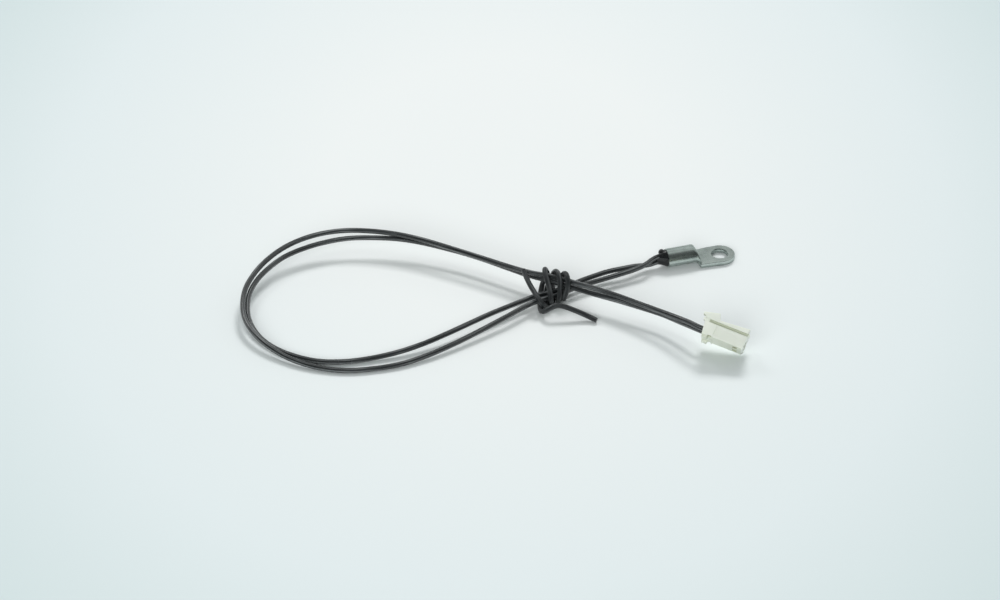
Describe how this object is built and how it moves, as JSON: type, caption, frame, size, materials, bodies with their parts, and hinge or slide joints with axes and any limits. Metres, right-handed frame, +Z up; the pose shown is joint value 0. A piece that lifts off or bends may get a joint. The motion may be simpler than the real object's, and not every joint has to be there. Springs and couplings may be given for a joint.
{
  "type": "bead thermistor",
  "caption": "Temperature probe: sensing bead potted in a ring lug, on a thin black two-wire lead with one loop, a wire tie and a white plug housing.",
  "frame": {"origin": "on the ground below the middle of the probe, which is the lug with its epoxy cone", "axes": "+X along the lug from its cable end to its ring, +Z up from the ground that the lug's underside lies on, +Y to the left when looking along +X"},
  "size_m": [0.1131, 0.07, 0.0096],
  "materials": {
    "tinned_copper": "bright plated copper",
    "black_epoxy": "glossy cured resin",
    "black_insulation": "satin insulation",
    "natural_nylon": "natural, slightly translucent",
    "bead_coating": "glass-coated bead",
    "bead_lead_metal": "fine alloy wire with a solder joint",
    "lead_sleeve": "thin insulating sleeve",
    "contact_metal": "plated bronze"
  },
  "bodies": {
    "root": {"ring_terminal": "tinned_copper", "thermistor_bead": "bead_coating", "potting_epoxy": "black_epoxy", "bead_lead_a": "bead_lead_metal", "bead_lead_b": "bead_lead_metal", "lead_sleeve_a": "lead_sleeve", "lead_sleeve_b": "lead_sleeve", "wire_a": "black_insulation", "wire_b": "black_insulation", "contact_a": "contact_metal", "contact_b": "contact_metal", "connector_housing": "natural_nylon", "lead_tie": "black_insulation"}
  },
  "joints": []
}
